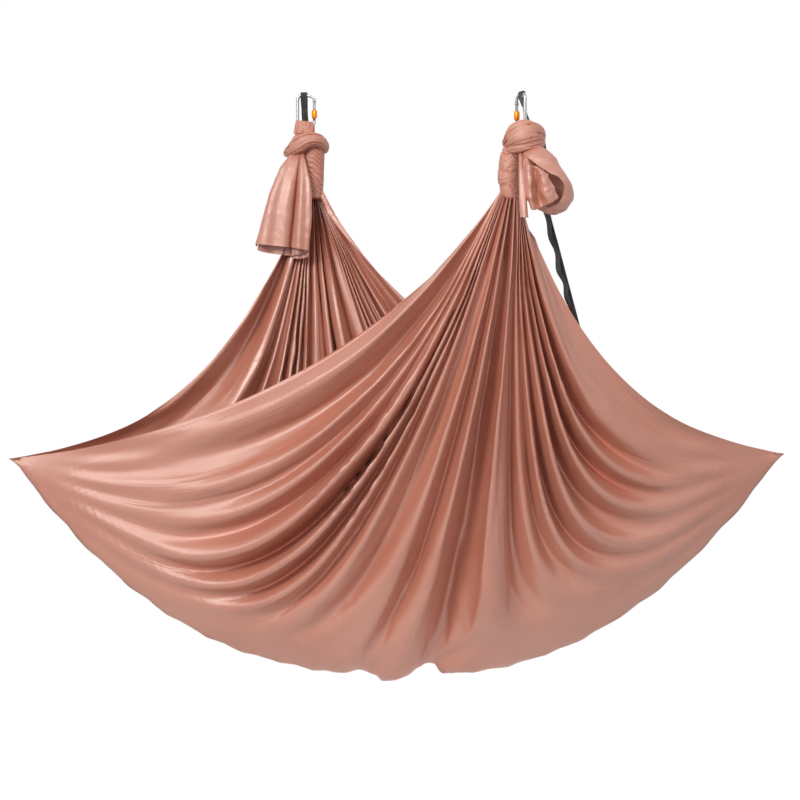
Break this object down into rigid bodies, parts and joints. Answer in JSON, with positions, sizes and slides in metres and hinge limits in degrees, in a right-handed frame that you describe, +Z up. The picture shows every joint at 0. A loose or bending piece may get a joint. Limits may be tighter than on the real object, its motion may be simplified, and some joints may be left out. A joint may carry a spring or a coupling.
{
  "type": "aerial yoga hammock",
  "caption": "Aerial yoga hammock: a spread nylon sheet gathered into two knots, each hung on a screw-lock carabiner with a daisy-chain strap.",
  "frame": {"origin": "midway between the two carabiners' top bars, where the hammock is hung", "axes": "+X from the left spread tip to the right one, +Y away from the viewer, +Z up"},
  "size_m": [2.2956, 0.8018, 1.8005],
  "materials": {
    "fabric": "satin rose-gold nylon tricot",
    "steel": "polished",
    "orange": "orange anodised, knurled",
    "webbing": "black polyester webbing",
    "thread": "grey bar-tack stitching"
  },
  "bodies": {
    "root": {"far_bar_tack_1": "thread", "far_bar_tack_2": "thread", "far_bar_tack_3": "thread", "far_bar_tack_4": "thread", "far_bar_tack_5": "thread", "far_bar_tack_6": "thread", "far_carabiner_body": "steel", "far_gate_rivet": "steel", "far_knot": "fabric", "far_knot_bundle": "fabric", "far_neck": "fabric", "far_strap": "webbing", "far_strap_pockets": "webbing", "far_tail": "fabric", "hammock_sheet": "fabric", "near_bar_tack_1": "thread", "near_bar_tack_2": "thread", "near_bar_tack_3": "thread", "near_bar_tack_4": "thread", "near_bar_tack_5": "thread", "near_bar_tack_6": "thread", "near_carabiner_body": "steel", "near_gate_rivet": "steel", "near_knot": "fabric", "near_knot_bundle": "fabric", "near_neck": "fabric", "near_rolled_tail": "fabric", "near_strap": "webbing", "near_strap_pockets": "webbing", "near_tail": "fabric"},
    "far_gate": {"far_carabiner_gate": "steel", "far_gate_pusher": "steel", "far_gate_spring": "steel"},
    "near_gate": {"near_carabiner_gate": "steel", "near_gate_pusher": "steel", "near_gate_spring": "steel"},
    "far_sleeve": {"far_locking_sleeve": "orange"},
    "near_sleeve": {"near_locking_sleeve": "orange"}
  },
  "joints": [
    {"name": "far_gate_hinge", "type": "hinge", "parent": "root", "child": "far_gate", "pos_m": [-0.28975, 0.29638, 0.014], "axis": [0.1392, 0.9903, 0], "range_deg": [0, 20], "stiffness_Nm_per_rad": 0.6, "springref_deg": -28.65},
    {"name": "far_sleeve_slide", "type": "slide", "parent": "far_gate", "child": "far_sleeve", "axis": [0, 0, -1], "range_m": [0, 0.01]},
    {"name": "near_gate_hinge", "type": "hinge", "parent": "root", "child": "near_gate", "pos_m": [0.30501, -0.27644, -0.0435], "axis": [-0.9063, -0.4226, 0], "range_deg": [0, 20], "stiffness_Nm_per_rad": 0.6, "springref_deg": -28.65},
    {"name": "near_sleeve_slide", "type": "slide", "parent": "near_gate", "child": "near_sleeve", "axis": [0, 0, -1], "range_m": [0, 0.01]}
  ]
}
